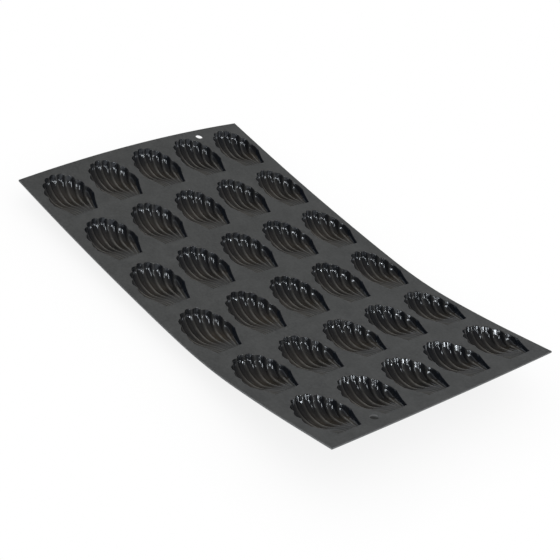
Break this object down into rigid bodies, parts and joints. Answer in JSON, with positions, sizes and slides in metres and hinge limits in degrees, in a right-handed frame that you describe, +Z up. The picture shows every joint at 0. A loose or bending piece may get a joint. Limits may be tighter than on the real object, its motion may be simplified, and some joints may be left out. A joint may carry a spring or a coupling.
{
  "type": "madeleine mould sheet",
  "caption": "Flexible sheet mould with rows of fluted shell-shaped cavities for small sponge cakes, whose webs bend between the rows, with a punched hole near each end.",
  "frame": {"origin": "under the middle of the sheet, on the surface that its lowest cavities rest on", "axes": "+Z up out of the cavities' mouths, +X along the sheet from the fan tips to the tails of the shells, +Y across it"},
  "size_m": [0.298, 0.175, 0.0313],
  "materials": {
    "coated_sheet": "dark grey silicone, matt on the web and glossy in the cavities"
  },
  "bodies": {
    "mould_row_1": {"mould_row_1": "coated_sheet"},
    "mould_row_2": {"mould_row_2": "coated_sheet"},
    "mould_row_3": {"mould_row_3": "coated_sheet"},
    "mould_row_4": {"mould_row_4": "coated_sheet"},
    "mould_row_5": {"mould_row_5": "coated_sheet"},
    "mould_row_6": {"mould_row_6": "coated_sheet"}
  },
  "joints": [
    {"name": "bend_2_3", "type": "hinge", "parent": "mould_row_3", "child": "mould_row_2", "pos_m": [-0.04964, 0, 0.01115], "axis": [0, 1, 0], "range_deg": [-45, 40], "stiffness_Nm_per_rad": 0.6},
    {"name": "bend_1_2", "type": "hinge", "parent": "mould_row_2", "child": "mould_row_1", "pos_m": [-0.0986, 0, 0.01303], "axis": [0, 1, 0], "range_deg": [-45, 40], "stiffness_Nm_per_rad": 0.6},
    {"name": "bend_3_4", "type": "hinge", "parent": "mould_row_3", "child": "mould_row_4", "pos_m": [-0.00064, 0, 0.01115], "axis": [0, -1, 0], "range_deg": [-45, 40], "stiffness_Nm_per_rad": 0.6},
    {"name": "bend_4_5", "type": "hinge", "parent": "mould_row_4", "child": "mould_row_5", "pos_m": [0.04836, 0, 0.01115], "axis": [0, -1, 0], "range_deg": [-45, 40], "stiffness_Nm_per_rad": 0.6},
    {"name": "bend_5_6", "type": "hinge", "parent": "mould_row_5", "child": "mould_row_6", "pos_m": [0.0967, 0, 0.01915], "axis": [0, -1, 0], "range_deg": [-45, 40], "stiffness_Nm_per_rad": 0.6}
  ]
}
